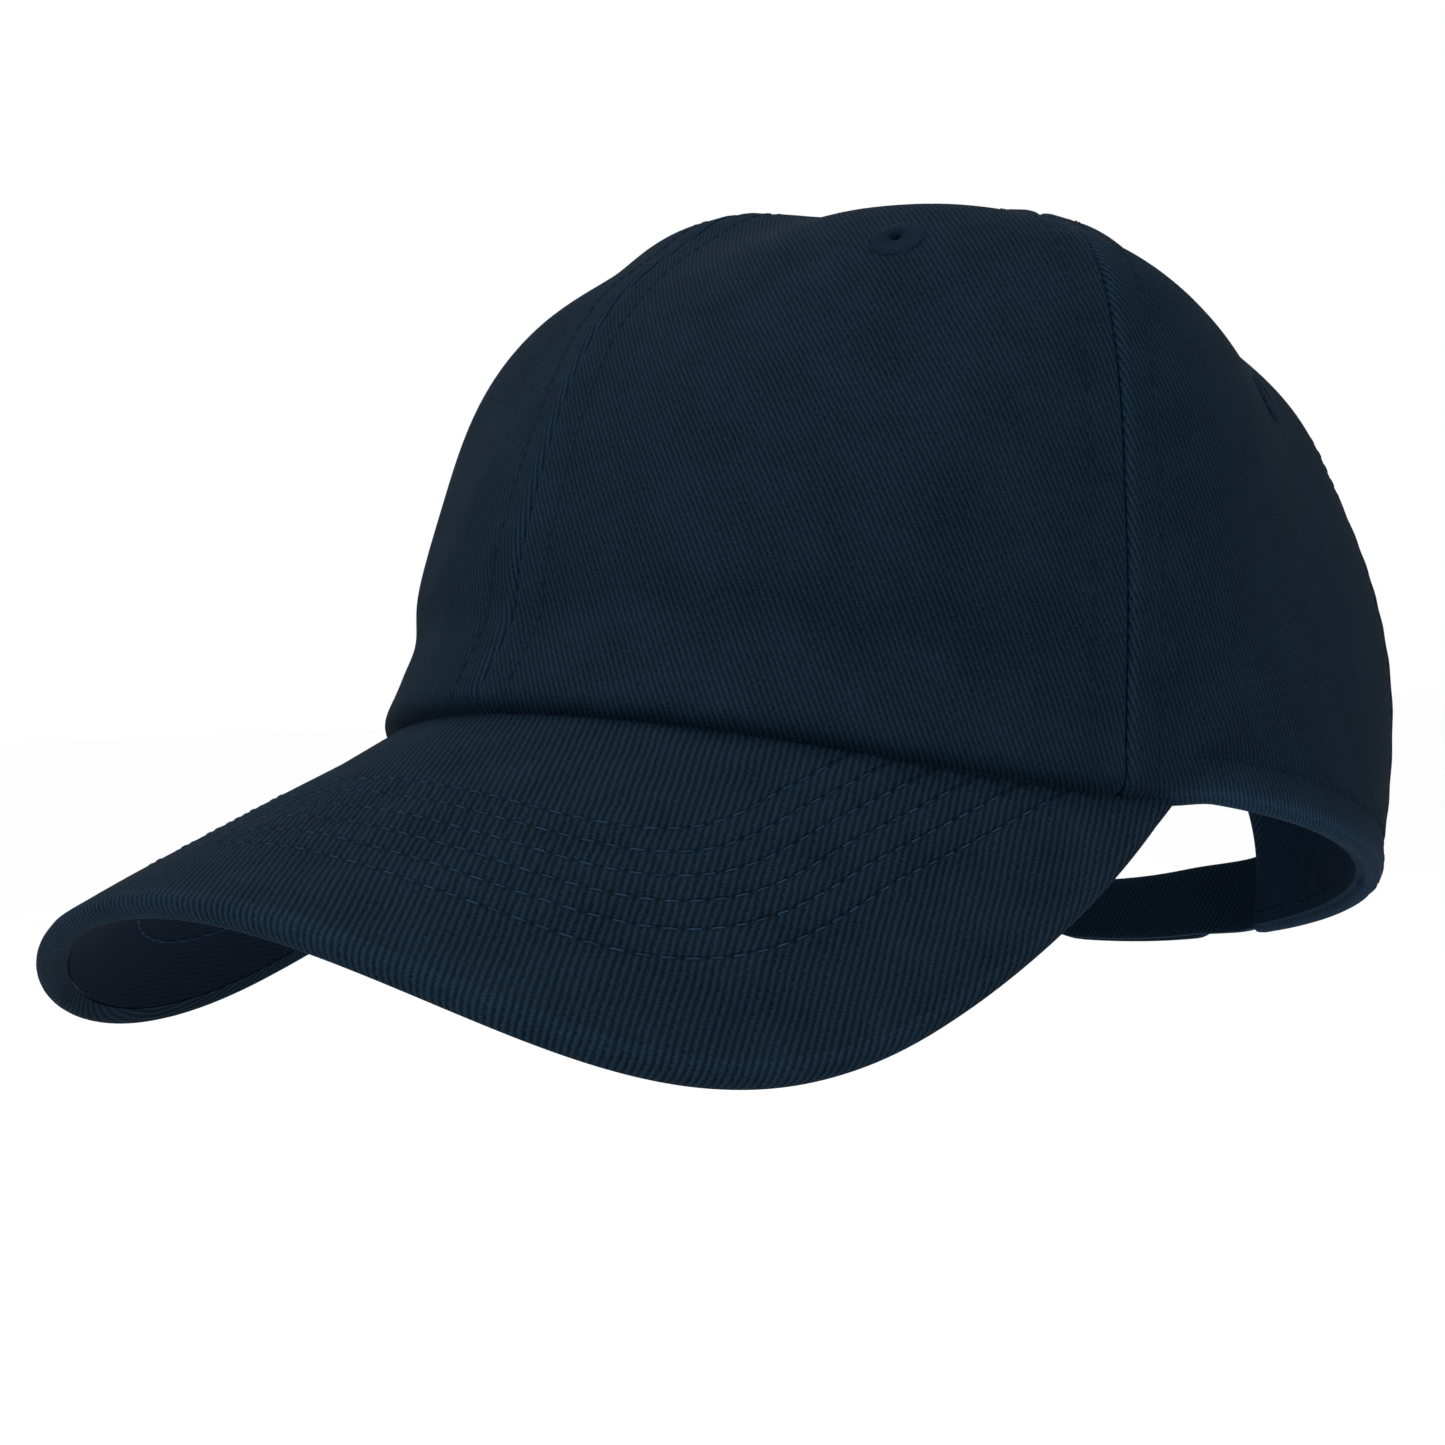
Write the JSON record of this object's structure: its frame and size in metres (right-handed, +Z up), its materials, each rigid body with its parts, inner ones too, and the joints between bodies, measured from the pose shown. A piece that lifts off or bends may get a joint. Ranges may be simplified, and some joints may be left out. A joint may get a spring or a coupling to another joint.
{
  "type": "baseball cap",
  "caption": "Soft six-panel baseball cap in navy cotton twill with a curved stitched visor, sewn eyelets and a half-moon back opening closed by a hook-and-loop strap.",
  "frame": {"origin": "middle of the head opening, on the plane of the rim", "axes": "+Z up as worn, -Y the way the wearer faces (visor), +X the wearer's left; the rim's plane is tilted 17.3 degrees, front up"},
  "size_m": [0.175, 0.2485, 0.1469],
  "materials": {
    "navy_twill": "washed cotton twill, matt",
    "seam_tape": "woven cotton tape, matt",
    "sweatband_cotton": "brushed cotton, matt",
    "label_satin": "white satin ribbon, blank",
    "eyelet_thread": "embroidery thread, slight sheen",
    "button_steel": "plated pressed steel",
    "visor_board_plastic": "moulded polyethylene insert",
    "hook_tape": "nylon hook tape",
    "loop_tape": "nylon loop tape"
  },
  "bodies": {
    "cap": {"left_front_panel": "navy_twill", "right_front_panel": "navy_twill", "left_side_panel": "navy_twill", "right_side_panel": "navy_twill", "left_rear_panel": "navy_twill", "right_rear_panel": "navy_twill", "front_middle_seam_tape": "seam_tape", "front_left_seam_tape": "seam_tape", "front_right_seam_tape": "seam_tape", "side_left_seam_tape": "seam_tape", "side_right_seam_tape": "seam_tape", "rear_seam_tape": "seam_tape", "rear_arch_binding": "seam_tape", "sweatband": "sweatband_cotton", "left_front_eyelet": "eyelet_thread", "right_front_eyelet": "eyelet_thread", "left_side_eyelet": "eyelet_thread", "right_side_eyelet": "eyelet_thread", "left_rear_eyelet": "eyelet_thread", "right_rear_eyelet": "eyelet_thread", "button_cover": "navy_twill", "button_shell": "button_steel", "button_rivet": "button_steel", "visor_top_cover": "navy_twill", "visor_board": "visor_board_plastic", "visor_bottom_cover": "navy_twill"},
    "outer_tab": {"outer_tab": "navy_twill", "hook_patch": "hook_tape"},
    "inner_tab": {"inner_tab": "navy_twill", "loop_patch": "loop_tape"},
    "care_label": {"care_label": "label_satin"}
  },
  "joints": [
    {"name": "outer_tab_peel", "type": "hinge", "parent": "cap", "child": "outer_tab", "pos_m": [-0.0281, 0.0873, -0.016], "axis": [0.008, 0.2236, 0.9746], "range_deg": [0, 110]},
    {"name": "inner_tab_fold", "type": "hinge", "parent": "cap", "child": "inner_tab", "pos_m": [0.0281, 0.0873, -0.016], "axis": [-0.008, 0.2236, 0.9746], "range_deg": [0, 45]},
    {"name": "care_label_flip", "type": "hinge", "parent": "cap", "child": "care_label", "pos_m": [-0.0744, 0.0525, 0.0225], "axis": [-0.2868, -0.9074, 0.3073], "range_deg": [0, 110]}
  ]
}
